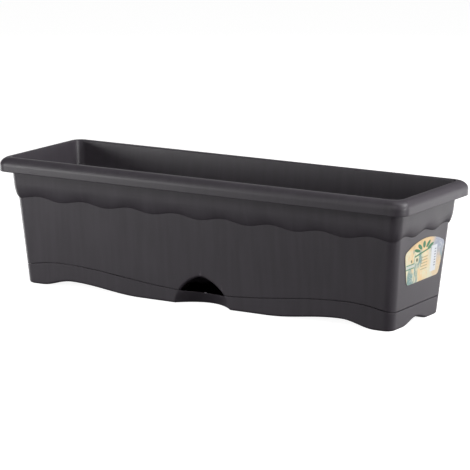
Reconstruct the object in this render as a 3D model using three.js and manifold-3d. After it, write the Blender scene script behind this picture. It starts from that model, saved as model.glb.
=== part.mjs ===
// Self-watering window box: a trough that stands on a shallow water tray.
// Millimetres, +Z up. The origin is the middle of the footprint, at floor level.
// +X runs along the box, and the front face with its filling scoop looks along -Y.

import * as THREE from 'three';
import * as BufferGeometryUtils from 'three/addons/utils/BufferGeometryUtils.js';
import Module from 'manifold-3d';

const wasm = await Module();
wasm.setup();

// ---------------------------------------------------------------- driving dimensions

// Overall size, over the rim.
const length = 600;
const width = 192;
const height = 170;

// Walls. They lean outward as they rise; an inset is measured in from the rim's outside.
const footInset = 28.5;
const draft = 0.083;
const wallCorner = 13;
const wallThickness = 2.3;

// Rolled rim, an upside-down channel.
const rimCorner = 16;
const rimDrop = 18.7;
const rimWidth = 12.3;
const rimShoulder = 11;
const rimSkin = 2.5;
const lipRound = 1.8;

// Wavy band under the rim, proud of the wall.
const bandProud = 3.3;
const bandRollHeight = 18;
const waveDepth = 4.8;
const waveMiddle = 117;
const wavesAlong = 8;
const wavesAcross = 3;
const waveEndMarginX = 20;
const waveEndMarginY = 12;
const insideWaveGap = 1;

// Wavy joint between trough and tray: its height in the middle, at its crests, at the ends.
const seamLow = 18;
const seamCrest = 32.5;
const seamEnd = 23.7;
const seamCrestFromEnd = 88;
const seamEndMargin = 24;
const seamGap = 1.1;

// Tray.
const trayWall = 2.2;
const trayFloor = 2.4;
const footRound = 3;
const archHeight = 8.8;
const middleFootHalf = 93;
const archCrestFromEnd = 100;
const cornerRampLength = 48;
const endArchHeight = 7;
const endArchHalf = 34;
const postRadius = 6;
const postInset = 22;
const restGap = 0.3;

// Trough floor, and the skirt that drops inside the tray.
const floorTop = 30;
const floorThickness = 2.3;
const skirtDrop = 8;
const skirtThickness = 1.8;
const skirtClearance = 0.4;
const ledgeAboveSeam = 4;
const drainRadius = 3;
const drainInset = 18;

// Filling and overflow scoop in the middle of the front.
const scoopHalfWidth = 41;
const scoopHeight = 38.8;
const scoopDepth = 38;
const scoopPower = 1.6;
const scoopSkin = 2.2;
const lipHeight = 16.6;
const lipSetback = 8;
const footSetback = 22;

// Wick cups and felt wicks.
const cupCentres = [-165, -68, 68, 165];
const betweenCups = 117;
const cupHoleRadius = 23;
const cupClearance = 0.5;
const cupFlange = 4;
const cupFlangeThickness = 1.8;
const cupFootClearance = 1.3;
const cupTaper = 3;
const cupWall = 1.8;
const cupWindows = 8;
const cupWindowWidth = 5;
const cupWindowHeight = 8;
const cupWindowSill = 1;
const wickWidth = 24;
const wickThickness = 3;
const wickClearance = 0.4;
const wickFootGap = 1.2;
const wickLength = 76;
const wickLean = 7;

// Label on the +X end.
const labelTopHalf = 55;
const labelFootHalf = 43.5;
const labelSide = 41.7;
const labelRound = 6;
const labelArch = 12.5;
const labelFootZ = 54;
const labelCentreY = 5.5;
const labelThickness = 0.3;
const labelGap = 0.2;

// Facets: in one wave, along one side, round one corner of an outline, and in what is round.
const waveSteps = 8;
const seamStepsLong = 48;
const cornerSteps = 5;
const roundSteps = 24;
const drainSteps = 12;
const postSteps = 16;
const cupSteps = 32;
const archSteps = 14;
const recessSteps = 16;
const scoopSteps = 20;
const wickSteps = 16;
const labelArchSteps = 12;

// How far joined solids run into each other, and cuts run past what they cut.
const overlap = 1;
const past = 5;

// ------------------------------------------------------------------ shared formulas

const clamp = (value, low, high) => Math.min(high, Math.max(low, value));

// Rises smoothly from 0 to 1 as t goes from 0 to 1.
const ease = (t) => (1 - Math.cos(Math.PI * clamp(t, 0, 1))) / 2;

const wallInset = (z) => footInset - draft * z;

// The skirt under the trough: its faces, in from the wall's outside, and the floor's underside.
const skirtOuter = trayWall + skirtClearance;
const skirtInner = skirtOuter + skirtThickness;
const underFloor = floorTop - floorThickness;

// Height of the joint between trough and tray, x along the box.
function seamHeight(x) {
  const crestX = length / 2 - seamCrestFromEnd;
  const endX = length / 2 - seamEndMargin;
  const away = Math.abs(x);
  if (away <= crestX) return seamLow + (seamCrest - seamLow) * ease((away / crestX) ** 1.15);
  const beyond = clamp((away - crestX) / (endX - crestX), 0, 1);
  return seamCrest - (seamCrest - seamEnd) * (1 - Math.cos(beyond * Math.PI / 2));
}

// Height of the tray's underside along its length, with feet in the middle and at the ends.
function underside(x) {
  const crestX = length / 2 - archCrestFromEnd;
  const away = Math.abs(x);
  if (away <= crestX) return archHeight * ease((away - middleFootHalf) / (crestX - middleFootHalf));
  return archHeight * (1 - ease((away - crestX) / cornerRampLength));
}

// Height of the wavy crease where the band meets the wall.
function creaseHeight(x, y) {
  const periodX = (length - 2 * waveEndMarginX) / wavesAlong;
  const periodY = (width - 2 * waveEndMarginY) / wavesAcross;
  const front = -Math.cos(2 * Math.PI * x / periodX);
  const end = Math.cos(2 * Math.PI * y / periodY);
  const inset = wallInset(waveMiddle) + wallCorner;
  const overX = Math.max(0, Math.abs(x) - (length / 2 - inset));
  const overY = Math.max(0, Math.abs(y) - (width / 2 - inset));
  const turn = overX === 0 ? 0 : Math.atan2(overX, overY) / (Math.PI / 2);
  return waveMiddle + (waveDepth / 2) * (front * (1 - ease(turn)) + end * ease(turn));
}

// Places mirrored into all four quarters of the plan.
const fourfold = (along, y) => along.flatMap((x) => [[x, y], [x, -y], [-x, y], [-x, -y]]);

// Half-width of the scoop's bell-shaped mouth at height z.
const bellHalfWidth = (z) =>
  scoopHalfWidth * (1 - clamp(z / scoopHeight, 0, 1) ** scoopPower) ** (1 / scoopPower);

// ------------------------------------------------------------------ solids

function toSolid(geometry) {
  const bare = geometry.index ? geometry.clone() : BufferGeometryUtils.mergeVertices(geometry);
  bare.deleteAttribute('normal');
  bare.deleteAttribute('uv');
  const merged = BufferGeometryUtils.mergeVertices(bare, 1e-4);
  return new wasm.Manifold(new wasm.Mesh({
    numProp: 3,
    vertProperties: new Float32Array(merged.attributes.position.array),
    triVerts: new Uint32Array(merged.index.array),
  }));
}

function toGeometry(solid) {
  const mesh = solid.getMesh();
  const geometry = new THREE.BufferGeometry();
  geometry.setAttribute('position', new THREE.BufferAttribute(mesh.vertProperties, 3));
  geometry.setIndex(new THREE.BufferAttribute(mesh.triVerts, 1));
  geometry.computeVertexNormals();
  return geometry;
}

// Points of a rounded rectangle as functions of its half-sizes and corner radius, so that
// outlines of different sizes have matching points. They run anticlockwise from above.
function stations(longSteps, shortSteps) {
  const corners = [
    [1, -1, -90, longSteps],
    [1, 1, 0, shortSteps],
    [-1, 1, 90, longSteps],
    [-1, -1, 180, shortSteps],
  ];
  const arcPoint = (corner, step) => (halfX, halfY, radius) => {
    const [sideX, sideY, start] = corner;
    const angle = THREE.MathUtils.degToRad(start + 90 * step / cornerSteps);
    return new THREE.Vector2(
      sideX * (halfX - radius) + radius * Math.cos(angle),
      sideY * (halfY - radius) + radius * Math.sin(angle),
    );
  };
  const points = [];
  corners.forEach((corner, index) => {
    const from = arcPoint(corners[(index + 3) % 4], cornerSteps);
    const to = arcPoint(corner, 0);
    const steps = corner[3];
    for (let step = 1; step < steps; step += 1) {
      points.push((...size) => from(...size).lerp(to(...size), step / steps));
    }
    for (let step = 0; step <= cornerSteps; step += 1) points.push(arcPoint(corner, step));
  });
  return points;
}

const fineStations = stations(wavesAlong * waveSteps, wavesAcross * waveSteps);
const seamStations = stations(seamStepsLong, 1);
const plainStations = stations(1, 1);

// One outline of a loft. The height and the inset may change from point to point.
function ring(points, heightAt, insetAt, corner) {
  return points.map((point) => {
    const place = (inset) => point(length / 2 - inset, width / 2 - inset, corner);
    const guess = place(insetAt(heightAt(0, 0), 0, 0));
    const z = heightAt(guess.x, guess.y);
    const spot = place(insetAt(z, guess.x, guess.y));
    return new THREE.Vector3(spot.x, spot.y, z);
  });
}

// Joins matching rings from the lowest to the highest and caps both ends.
// With closed set, the last ring joins the first and there are no caps.
function loft(rings, closed = false) {
  const count = rings[0].length;
  const positions = rings.flat().flatMap((point) => point.toArray());
  const index = [];
  const spans = closed ? rings.length : rings.length - 1;
  for (let level = 0; level < spans; level += 1) {
    const low = level * count;
    const high = ((level + 1) % rings.length) * count;
    for (let i = 0; i < count; i += 1) {
      const next = (i + 1) % count;
      index.push(low + i, low + next, high + next, low + i, high + next, high + i);
    }
  }
  if (!closed) {
    [rings[0], rings[rings.length - 1]].forEach((end, which) => {
      const middle = end.reduce((sum, point) => sum.add(point), new THREE.Vector3());
      const centre = positions.length / 3;
      positions.push(...middle.divideScalar(count).toArray());
      const base = which * (rings.length - 1) * count;
      for (let i = 0; i < count; i += 1) {
        const pair = which ? [base + i, base + (i + 1) % count] : [base + (i + 1) % count, base + i];
        index.push(...pair, centre);
      }
    });
  }
  const geometry = new THREE.BufferGeometry();
  geometry.setAttribute('position', new THREE.Float32BufferAttribute(positions, 3));
  geometry.setIndex(index);
  return toSolid(geometry);
}

function cylinder(radius, low, high, x, y, steps = roundSteps) {
  const geometry = new THREE.CylinderGeometry(radius, radius, high - low, steps);
  geometry.rotateX(Math.PI / 2).translate(x, y, (low + high) / 2);
  return toSolid(geometry);
}

function block(sizeX, sizeY, sizeZ, x, y, z) {
  return toSolid(new THREE.BoxGeometry(sizeX, sizeY, sizeZ).translate(x, y, z));
}

// Prism along Y or X under the curve height(t), for t between the ends, down to the base.
function prismUnder(heightOf, from, to, steps, base, depth, alongX) {
  const shape = new THREE.Shape();
  shape.moveTo(from, base);
  for (let step = 0; step <= steps; step += 1) {
    const t = from + (to - from) * step / steps;
    shape.lineTo(t, heightOf(t));
  }
  shape.lineTo(to, base);
  const geometry = new THREE.ExtrudeGeometry(shape, { depth, bevelEnabled: false });
  geometry.translate(0, 0, -depth / 2).rotateX(Math.PI / 2);
  if (alongX) geometry.rotateZ(Math.PI / 2);
  return toSolid(geometry);
}

// ------------------------------------------------------------------ planter box

// Bands of the outside, from the joint up to the rim. proud is how far it stands off the wall.
function boxOutside() {
  const rollTop = waveMiddle + bandRollHeight;
  const rolled = (share) => ring(
    fineStations,
    (x, y) => creaseHeight(x, y) + (rollTop - creaseHeight(x, y)) * share,
    (z) => wallInset(z) - bandProud * (1 - (1 - share) ** 2) ** 0.7,
    wallCorner,
  );
  const bandTop = height - rimSkin / 2;
  return loft([
    ring(fineStations, (x) => seamHeight(x) + seamGap / 2, wallInset, wallCorner),
    rolled(0),
    rolled(0.12),
    rolled(0.35),
    rolled(0.65),
    rolled(1),
    ring(fineStations, () => bandTop, (z) => wallInset(z) - bandProud, wallCorner),
  ]);
}

// The rim is an upside-down channel rolled over the band, swept round the box.
function boxRim() {
  const arc = (radius, angles) => angles.map((degrees) => {
    const angle = THREE.MathUtils.degToRad(degrees);
    return [rimShoulder - radius * Math.cos(angle), height - rimShoulder + radius * Math.sin(angle)];
  });
  const insideWall = (z, share) => wallInset(z) - bandProud + wallThickness * share;
  const foot = height - rimDrop;
  const section = [
    [0, foot],
    ...arc(rimShoulder, [0, 18, 36, 54, 72, 90]),
    [insideWall(height, 2), height],
    [insideWall(foot, 2), foot],
    [insideWall(foot, 0.5), foot],
    [insideWall(height - rimSkin, 0.5), height - rimSkin],
    ...arc(rimShoulder - rimSkin, [90, 60, 30, 0]),
    [rimSkin, foot],
  ];
  const cornerAt = (inset) => rimCorner - (rimCorner - wallCorner) * Math.min(1, inset / rimWidth);
  return loft(section.map(([inset, z]) => ring(plainStations, () => z, () => inset, cornerAt(inset))), true);
}

// The space for soil: stepped in over the joint, then parallel to the outside.
function soilSpace() {
  const innerCorner = wallCorner - wallThickness;
  const level = (z, offset, corner) => ring(plainStations, () => z, () => wallInset(z) + offset, corner);
  const ledgeTop = seamCrest + ledgeAboveSeam;
  const waveTop = waveMiddle + waveDepth / 2 + insideWaveGap;
  const mouth = wallInset(height) + wallThickness - bandProud;
  const lip = [60, 30, 0].map((degrees) => {
    const angle = THREE.MathUtils.degToRad(degrees);
    const inset = rimWidth + (mouth - rimWidth) * (1 - Math.cos(angle));
    return ring(plainStations, () => height - lipRound * Math.sin(angle), () => inset, innerCorner);
  });
  return loft([
    level(floorTop, skirtInner, wallCorner - skirtInner),
    level(ledgeTop, skirtInner, wallCorner - skirtInner),
    level(ledgeTop + skirtInner - wallThickness, wallThickness, innerCorner),
    level(waveTop, wallThickness, innerCorner),
    level(waveTop + bandRollHeight, wallThickness - bandProud, innerCorner),
    level(height - lipRound, wallThickness - bandProud, innerCorner),
    ...lip,
    ring(plainStations, () => height + past, () => rimWidth, innerCorner),
  ]);
}

// Bell-shaped tunnel that narrows to nothing as it runs in from the front wall.
function scoopTunnel(grow) {
  const front = -(width / 2 - footInset);
  const outline = (y, share) => {
    const side = (scoopHalfWidth + grow) * share;
    const top = (scoopHeight + grow) * share;
    const points = [];
    for (let step = scoopSteps; step >= 0; step -= 1) {
      const angle = Math.PI * step / scoopSteps;
      const x = side * Math.sign(Math.cos(angle)) * Math.abs(Math.cos(angle)) ** (2 / scoopPower);
      points.push(new THREE.Vector3(x, y, top * Math.sin(angle) ** (2 / scoopPower)));
    }
    points.push(new THREE.Vector3(side, y, -overlap), new THREE.Vector3(-side, y, -overlap));
    return points;
  };
  const depth = scoopDepth + grow;
  const inward = [0, 0.25, 0.5, 0.7, 0.85, 0.95, 0.99];
  return loft([
    outline(-width / 2, 1),
    ...inward.map((share) => outline(front + depth * share, Math.sqrt(1 - share ** 2))),
  ]);
}

function makePlanterBox() {
  const skirtLevel = (rise) => ring(
    seamStations,
    (x) => seamHeight(x) + rise,
    (z) => wallInset(z) + skirtOuter,
    wallCorner - skirtOuter,
  );
  const skirt = loft([skirtLevel(-skirtDrop), skirtLevel(ledgeAboveSeam)]);
  const level = (z, offset) => ring(plainStations, () => z, () => wallInset(z) + offset, wallCorner - offset);
  const slab = loft([level(underFloor, skirtInner - overlap), level(floorTop, skirtInner - overlap)]);
  const space = loft([level(-overlap, skirtInner), level(underFloor, skirtInner)]);

  let box = boxOutside().add(boxRim()).add(skirt).subtract(space).add(slab).subtract(soilSpace());

  const behindFront = width / 2 - wallInset(underFloor) - overlap;
  const hoodRoom = block(length, width, height, 0, width / 2 - behindFront, underFloor + height / 2);
  box = box.add(scoopTunnel(scoopSkin).intersect(hoodRoom)).subtract(scoopTunnel(0));

  cupCentres.forEach((x) => {
    box = box.subtract(cylinder(cupHoleRadius, 0, floorTop + overlap, x, 0));
  });
  drainPlaces().forEach(([x, y]) => {
    box = box.subtract(cylinder(drainRadius, 0, floorTop + overlap, x, y, drainSteps));
  });
  return box;
}

// Drain holes stand in two rows, beside the cups and beyond them.
function drainPlaces() {
  const y = width / 2 - footInset - drainInset;
  const endX = length / 2 - footInset - drainInset;
  return fourfold([...cupCentres.filter((x) => x > 0), endX], y);
}

// ------------------------------------------------------------------ reservoir tray

// Everything under the arches of the tray's underside, raised by lift.
function archRoom(lift) {
  const crestX = length / 2 - archCrestFromEnd;
  const outerX = crestX + cornerRampLength;
  const rise = (x) => underside(x) + lift;
  const endRise = (y) => endArchHeight * ease(1 - Math.abs(y) / endArchHalf) + lift;
  const along = archCrestFromEnd + past;
  const endArch = (side) => prismUnder(endRise, -endArchHalf, endArchHalf, archSteps, -past, along, true)
    .translate([side * (crestX + along / 2), 0, 0]);
  return prismUnder(rise, middleFootHalf, outerX, archSteps, -past, width, false)
    .add(prismUnder(rise, -outerX, -middleFootHalf, archSteps, -past, width, false))
    .add(endArch(1))
    .add(endArch(-1));
}

// The recess in the tray's front wall below the scoop, grown by grow and ended at top.
function lipRecess(grow, bottom, top) {
  const outline = (z) => {
    const side = bellHalfWidth(z) + grow;
    const setback = footSetback + (lipSetback - footSetback) * clamp(z / lipHeight, 0, 1) + grow;
    const wall = -(width / 2 - wallInset(z));
    const points = [];
    for (let step = 0; step <= recessSteps; step += 1) {
      const share = 1 - 2 * step / recessSteps;
      points.push(new THREE.Vector3(side * share, wall + setback * (1 - share ** 2), z));
    }
    const outside = grow > 0 ? wall + trayWall / 4 : wall - past;
    points.push(new THREE.Vector3(-side, outside, z), new THREE.Vector3(side, outside, z));
    return points;
  };
  return loft([bottom, top / 3, 2 * top / 3, top].map(outline));
}

function makeReservoirTray() {
  const edge = (drop, offset) => ring(
    seamStations,
    (x) => seamHeight(x) - drop,
    (z) => wallInset(z) + offset,
    wallCorner - offset,
  );
  const level = (z, offset) => ring(seamStations, () => z, () => wallInset(z) + offset, wallCorner - offset);
  const round = [0, 30, 60, 90].map((degrees) => {
    const angle = THREE.MathUtils.degToRad(degrees);
    return level(footRound * (1 - Math.cos(angle)), footRound * (1 - Math.sin(angle)));
  });
  const outside = loft([...round, edge(seamGap / 2, 0)]).subtract(archRoom(0));
  const water = loft([level(trayFloor, trayWall), edge(-past, trayWall)]).subtract(archRoom(trayFloor));

  let tray = outside.subtract(water);
  postPlaces().forEach(([x, y]) => {
    const foot = underside(x) + trayFloor / 2;
    tray = tray.add(cylinder(postRadius, foot, underFloor - restGap, x, y, postSteps));
  });

  const lipSide = bellHalfWidth(lipHeight);
  const overLip = block(2 * lipSide, width / 2, height, 0, -width / 2, lipHeight + height / 2);
  return tray
    .add(lipRecess(trayWall, 0, lipHeight))
    .subtract(overLip)
    .subtract(lipRecess(0, -overlap, lipHeight + overlap));
}

// Posts stand on the tray's floor and carry the trough's floor.
function postPlaces() {
  const y = width / 2 - footInset - postInset;
  const endX = length / 2 - footInset - 2 * postInset;
  return fourfold([betweenCups, endX], y);
}

// ------------------------------------------------------------------ wick cups and wicks

const cupBottom = archHeight + trayFloor + cupFootClearance;

function makeWickCup() {
  const top = cupHoleRadius - cupClearance;
  const foot = top - cupTaper;
  const seat = floorTop + restGap;
  const profile = [
    [0, cupBottom],
    [foot, cupBottom],
    [top, seat],
    [cupHoleRadius + cupFlange, seat],
    [cupHoleRadius + cupFlange, seat + cupFlangeThickness],
    [top - cupWall, seat + cupFlangeThickness],
    [foot - cupWall, cupBottom + cupWall],
    [0, cupBottom + cupWall],
  ].map(([radius, z]) => new THREE.Vector2(radius, z));
  const shell = new THREE.LatheGeometry(profile, cupSteps);
  shell.rotateX(Math.PI / 2);
  let cup = toSolid(shell);
  for (let i = 0; i < cupWindows; i += 1) {
    const window = new THREE.BoxGeometry(top, cupWindowWidth, cupWindowHeight);
    window.translate(top, 0, cupBottom + cupWall + cupWindowSill + cupWindowHeight / 2);
    window.rotateZ(2 * Math.PI * (i + 0.5) / cupWindows);
    cup = cup.subtract(toSolid(window));
  }
  const slotX = wickThickness + 2 * wickClearance;
  const slotY = wickWidth + 2 * wickClearance;
  return cup.subtract(block(slotX, slotY, 4 * cupWall, 0, 0, cupBottom));
}

// A felt strip: straight up through the cup's slot, then leaning over in the soil.
function makeFeltWick(x) {
  const bottom = underside(Math.abs(x) + wickThickness) + trayFloor + wickFootGap;
  const lean = (z) => wickLean * ease((z - floorTop) / (wickLength - floorTop)) * Math.sign(x);
  const side = (offset) => Array.from({ length: wickSteps + 1 }, (_, step) => {
    const z = bottom + wickLength * step / wickSteps;
    return new THREE.Vector2(lean(z) + offset, z);
  });
  const outline = new THREE.Shape([...side(wickThickness / 2), ...side(-wickThickness / 2).reverse()]);
  const geometry = new THREE.ExtrudeGeometry(outline, { depth: wickWidth, bevelEnabled: false });
  geometry.translate(0, 0, -wickWidth / 2).rotateX(Math.PI / 2);
  return toSolid(geometry);
}

// ------------------------------------------------------------------ label

function makeLabelOutline() {
  const radius = (labelTopHalf ** 2 + labelArch ** 2) / (2 * labelArch);
  const reach = Math.asin(labelTopHalf / radius);
  const arch = [];
  for (let step = 1; step < labelArchSteps; step += 1) {
    const angle = reach * (1 - 2 * step / labelArchSteps);
    const drop = radius * (1 - Math.cos(angle));
    arch.push(new THREE.Vector2(radius * Math.sin(angle), labelSide + labelArch - drop));
  }
  const corners = [
    new THREE.Vector2(-labelFootHalf, 0),
    new THREE.Vector2(labelFootHalf, 0),
    new THREE.Vector2(labelTopHalf, labelSide),
    ...arch,
    new THREE.Vector2(-labelTopHalf, labelSide),
  ];
  const shape = new THREE.Shape();
  corners.forEach((corner, index) => {
    const before = corners[(index + corners.length - 1) % corners.length];
    const after = corners[(index + 1) % corners.length];
    const cut = arch.includes(corner) ? 0 : labelRound;
    const start = corner.clone().add(before.clone().sub(corner).setLength(cut));
    const end = corner.clone().add(after.clone().sub(corner).setLength(cut));
    if (index === 0) shape.moveTo(start.x, start.y);
    else shape.lineTo(start.x, start.y);
    if (cut > 0) shape.quadraticCurveTo(corner.x, corner.y, end.x, end.y);
  });
  shape.closePath();
  return shape;
}

function makeLabel() {
  const options = { depth: labelThickness, bevelEnabled: false, curveSegments: 4 };
  return new THREE.ExtrudeGeometry(makeLabelOutline(), options);
}

// ------------------------------------------------------------------ assembly

const resin = { color: 0x3a383c, roughness: 0.5, metalness: 0 };
const felt = { color: 0xc9c4b8, roughness: 1, metalness: 0 };
const print = { color: 0xd9dcc0, roughness: 0.4, metalness: 0 };

function named(name, geometry, finish) {
  const mesh = new THREE.Mesh(geometry, new THREE.MeshStandardMaterial(finish));
  mesh.name = name;
  return mesh;
}

const planter = new THREE.Group();
planter.add(named('reservoir_tray', toGeometry(makeReservoirTray()), resin));
planter.add(named('planter_box', toGeometry(makePlanterBox()), resin));

cupCentres.forEach((x, index) => {
  const place = new THREE.Group();
  place.position.set(x, 0, 0);
  place.add(named(`wick_cup_${index + 1}`, toGeometry(makeWickCup()), resin));
  place.add(named(`felt_wick_${index + 1}`, toGeometry(makeFeltWick(x)), felt));
  planter.add(place);
});

const label = named('end_label', makeLabel(), print);
const tilt = Math.atan(draft);
const across = new THREE.Vector3(0, 1, 0);
const upSlope = new THREE.Vector3(Math.sin(tilt), 0, Math.cos(tilt));
const outward = new THREE.Vector3(Math.cos(tilt), 0, -Math.sin(tilt));
label.setRotationFromMatrix(new THREE.Matrix4().makeBasis(across, upSlope, outward));
label.position.set(length / 2 - wallInset(labelFootZ), labelCentreY, labelFootZ);
label.position.addScaledVector(outward, labelGap);
planter.add(label);

export default planter;
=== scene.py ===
"""Looks of a self-watering window box: trough, water tray, wick cups, felt wicks and label.

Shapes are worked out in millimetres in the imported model's frame, and written in metres.
+X runs along the box, and the front with its filling scoop looks along -Y.
"""

import math

import bmesh
import bpy
import numpy as np
from mathutils import Matrix, Vector


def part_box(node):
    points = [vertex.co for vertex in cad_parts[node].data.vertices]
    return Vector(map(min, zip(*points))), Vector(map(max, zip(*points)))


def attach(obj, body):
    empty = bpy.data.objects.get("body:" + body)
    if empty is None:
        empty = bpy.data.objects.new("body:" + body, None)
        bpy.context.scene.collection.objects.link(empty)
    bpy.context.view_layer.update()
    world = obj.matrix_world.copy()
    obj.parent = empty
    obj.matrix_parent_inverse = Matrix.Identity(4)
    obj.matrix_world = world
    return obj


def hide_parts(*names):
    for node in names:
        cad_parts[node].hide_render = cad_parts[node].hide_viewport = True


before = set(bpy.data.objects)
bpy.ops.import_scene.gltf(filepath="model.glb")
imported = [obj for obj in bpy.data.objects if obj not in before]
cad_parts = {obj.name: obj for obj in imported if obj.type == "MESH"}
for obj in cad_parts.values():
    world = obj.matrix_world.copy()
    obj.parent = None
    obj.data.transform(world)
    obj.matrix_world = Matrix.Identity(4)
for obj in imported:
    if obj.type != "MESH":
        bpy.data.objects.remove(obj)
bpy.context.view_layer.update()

MM = 0.001

# ------------------------------------------------------------------ sizes, in millimetres


def box_mm(node):
    """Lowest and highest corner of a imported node, in millimetres."""
    low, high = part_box(node)
    return np.array(low) / MM, np.array(high) / MM


def middle_x(node):
    low, high = box_mm(node)
    return float(low[0] + high[0]) / 2


trough_low, trough_high = box_mm("planter_box")
LENGTH = trough_high[0] - trough_low[0]
WIDTH = trough_high[1] - trough_low[1]
HEIGHT = trough_high[2]

# Walls. They lean outward as they rise; an inset is measured in from the rim's outside.
# Rings on a floor keep the walls' corner this far in, and close it up beyond.
FOOT_INSET = 28.5
DRAFT = 0.083
WALL_CORNER = 13
CORNER_KEPT = 8
WALL = 2.3

# Rolled rim, an upside-down channel.
RIM_CORNER = 16
RIM_DROP = 18.7
RIM_WIDTH = 12.3
RIM_SHOULDER = 11
RIM_SKIN = 2.5
RIM_EDGE = 0.9
LIP_ROUND = 1.8
CHANNEL_FILLET = 1.2

# Wavy band under the rim, proud of the wall.
BAND_PROUD = 3.3
BAND_ROLL = 18
WAVE_DEPTH = 4.8
WAVE_MIDDLE = 117
WAVES_ALONG = 8
WAVES_ACROSS = 3
WAVE_END_MARGIN_X = 20
WAVE_END_MARGIN_Y = 12

# Wavy joint between trough and tray.
SEAM_LOW = 18
SEAM_CREST = 32.5
SEAM_END = 23.7
SEAM_CREST_FROM_END = 88
SEAM_END_MARGIN = 24
SEAM_POWER = 1.15
SEAM_GAP = 1.1
SEAM_EDGE = 0.3

# Rings of the meshes: how many, and the heights and shares of those that are set one by one.
WALL_RINGS = 12
INSIDE_RINGS = 8
FLOOR_RINGS = 12
BAND_SHARES = (0, 0.012, 0.03, 0.06, 0.1, 0.16, 0.23, 0.31, 0.4, 0.5, 0.61, 0.73, 0.86, 1)
BAND_BULGE = 0.7
LEVELS_OVER_BAND = (141, 148, 155)
LEVELS_IN_CHANNEL = (160, 164)
LEVELS_INSIDE = (160, 150)

# Tray.
TRAY_WALL = 2.2
TRAY_FLOOR = 2.4
FOOT_ROUND = 3
ARCH_HEIGHT = 8.8
MIDDLE_FOOT_HALF = 93
ARCH_CREST_FROM_END = 100
CORNER_FOOT_LENGTH = 48
END_ARCH_HEIGHT = 7
END_ARCH_HALF = 34
POST_RADIUS = 6
POST_INSET = 22
POST_FLARE = 1.5
POST_EDGE = 0.6
POST_STEPS = 48
REST_GAP = 0.3
TRAY_FILLET = 1.5
FLAT_MARGIN = 12
FLAT_RINGS = 22

# Moulding nub on the tray's lip: half sizes and place.
NUB_HALF = (2.8, 1.1, 1.3)
NUB_X = 1.5
NUB_BEHIND_LIP = 1.0

# Trough floor, and the skirt that drops inside the tray.
FLOOR_TOP = 30
FLOOR = 2.3
SKIRT_DROP = 8
SKIRT = 1.8
SKIRT_CLEARANCE = 0.4
SKIRT_FILLET = 1.2
JOINT_STEP = 0.6
FLOOR_FILLET = 3.5
LEDGE_ABOVE_SEAM = 4
INSIDE_WAVE_GAP = 1
DRAIN_RADIUS = 3
DRAIN_INSET = 18
DRAIN_STEPS = 32
HOLE_EDGE = 0.5
CUT_PAST = 3

# Filling and overflow scoop in the middle of the front. The hood and the mouth's cutter
# start this far behind the wall's face.
SCOOP_HALF = 41
SCOOP_HEIGHT = 38.8
SCOOP_DEPTH = 38
SCOOP_POWER = 1.6
SCOOP_SKIN = 2.2
SCOOP_EDGE = 3.2
SCOOP_STEPS = 56
HOOD_START = 1.2
MOUTH_START = -8
TRAY_LIP = 16.6
LIP_SETBACK = 8
FOOT_SETBACK = 22
SETBACK_REACH = 60

# Wick cups and felt wicks.
CUP_COUNT = 4
CUP_CENTRES = [middle_x(f"wick_cup_{n + 1}") for n in range(CUP_COUNT)]
BETWEEN_CUPS = 117
CUP_HOLE_RADIUS = 23
CUP_CLEARANCE = 0.5
CUP_WALL = 1.8
CUP_TAPER = 3
CUP_WINDOWS = 8
CUP_WINDOW_WIDTH = 5
CUP_WINDOW_HEIGHT = 8
CUP_LIP_EDGE = 0.7
CUP_FLANGE_EDGE = 0.5
CUP_INSIDE_EDGE = 0.6
CUP_FOOT_EDGE = 1
CUP_STEPS = 96
WICK_CLEARANCE = 0.4
WICK_THICKNESS = 3
WICK_FUZZ = 0.16
WICK_EDGE_FUZZ = 0.02
WICK_LEAN = 7
WICK_END_SHARES = {0: 0.45, 1: 0.85, 2: 0.97}
WICK_END_NARROWING = 0.05
WICK_SIDE_POWER = 0.5
WICK_EDGE_POWER = 0.22
WICK_STEPS_AROUND = 72
WICK_STEPS_ALONG = 110


def ease(t):
    """Rises smoothly from 0 to 1 as t goes from 0 to 1."""
    return (1 - np.cos(np.pi * np.clip(t, 0, 1))) / 2


def wall_inset(z):
    return FOOT_INSET - DRAFT * z


def seam_height(x):
    """Height of the joint between trough and tray, x along the box."""
    crest_x = LENGTH / 2 - SEAM_CREST_FROM_END
    end_x = LENGTH / 2 - SEAM_END_MARGIN
    away = np.abs(x)
    inner = SEAM_LOW + (SEAM_CREST - SEAM_LOW) * ease((away / crest_x) ** SEAM_POWER)
    past = np.clip((away - crest_x) / (end_x - crest_x), 0, 1)
    outer = SEAM_CREST - (SEAM_CREST - SEAM_END) * (1 - np.cos(past * np.pi / 2))
    return np.where(away <= crest_x, inner, outer)


def underside(x, y):
    """Height of the tray's underside: feet in the middle and at the corners."""
    crest_x = LENGTH / 2 - ARCH_CREST_FROM_END
    away = np.abs(x)
    inner = ARCH_HEIGHT * ease((away - MIDDLE_FOOT_HALF) / (crest_x - MIDDLE_FOOT_HALF))
    outer = ARCH_HEIGHT * (1 - ease((away - crest_x) / CORNER_FOOT_LENGTH))
    end_arch = END_ARCH_HEIGHT * ease(1 - np.abs(y) / END_ARCH_HALF)
    return np.where(away <= crest_x, inner, np.maximum(outer, end_arch))


def crease_height(x, y):
    """Height of the wavy crease where the band meets the wall."""
    period_x = (LENGTH - 2 * WAVE_END_MARGIN_X) / WAVES_ALONG
    period_y = (WIDTH - 2 * WAVE_END_MARGIN_Y) / WAVES_ACROSS
    front = -np.cos(2 * np.pi * x / period_x)
    end = np.cos(2 * np.pi * y / period_y)
    inset = wall_inset(WAVE_MIDDLE) + WALL_CORNER
    over_x = np.maximum(0, np.abs(x) - (LENGTH / 2 - inset))
    over_y = np.maximum(0, np.abs(y) - (WIDTH / 2 - inset))
    turn = ease(np.arctan2(over_x, over_y + 1e-9) / (np.pi / 2))
    return WAVE_MIDDLE + WAVE_DEPTH / 2 * (front * (1 - turn) + end * turn)


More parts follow.
